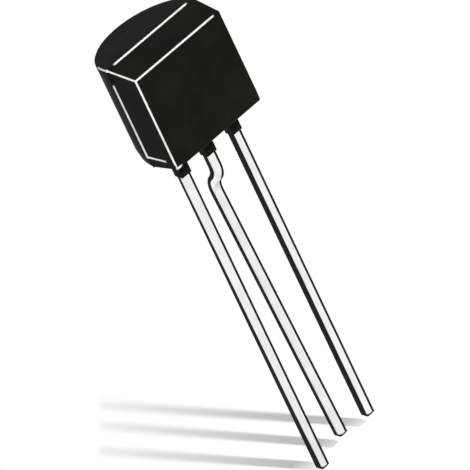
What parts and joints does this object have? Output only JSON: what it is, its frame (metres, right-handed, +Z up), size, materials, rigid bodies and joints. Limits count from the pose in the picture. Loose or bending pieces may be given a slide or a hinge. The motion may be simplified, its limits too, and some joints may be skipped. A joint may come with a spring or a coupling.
{
  "type": "to-92 transistor",
  "caption": "Small-signal transistor in a black moulded D-shaped body with a flat front and straight tin-plated leads, the middle one jogged back.",
  "frame": {"origin": "centre of the lead row, where the parting plane meets the body's underside", "axes": "+Z up the body, away from the lead tips; -Y out of the flat face; +X to the right seen from the flat face with the leads down"},
  "size_m": [0.0044, 0.0036, 0.0184],
  "materials": {
    "epoxy": "black epoxy moulding compound, satin from a fine spark-eroded mould",
    "tin_plate": "matt tin plate on a stamped copper-alloy lead frame",
    "die_bond": "silver-filled die bond",
    "silicon": "sawn silicon with a polished face",
    "gold_wire": "drawn gold bond wire"
  },
  "bodies": {
    "root": {"moulded_body": "epoxy", "left_lead": "tin_plate", "middle_lead": "tin_plate", "right_lead": "tin_plate", "die_attach": "die_bond", "silicon_die": "silicon", "left_bond_wire": "gold_wire", "right_bond_wire": "gold_wire"}
  },
  "joints": []
}
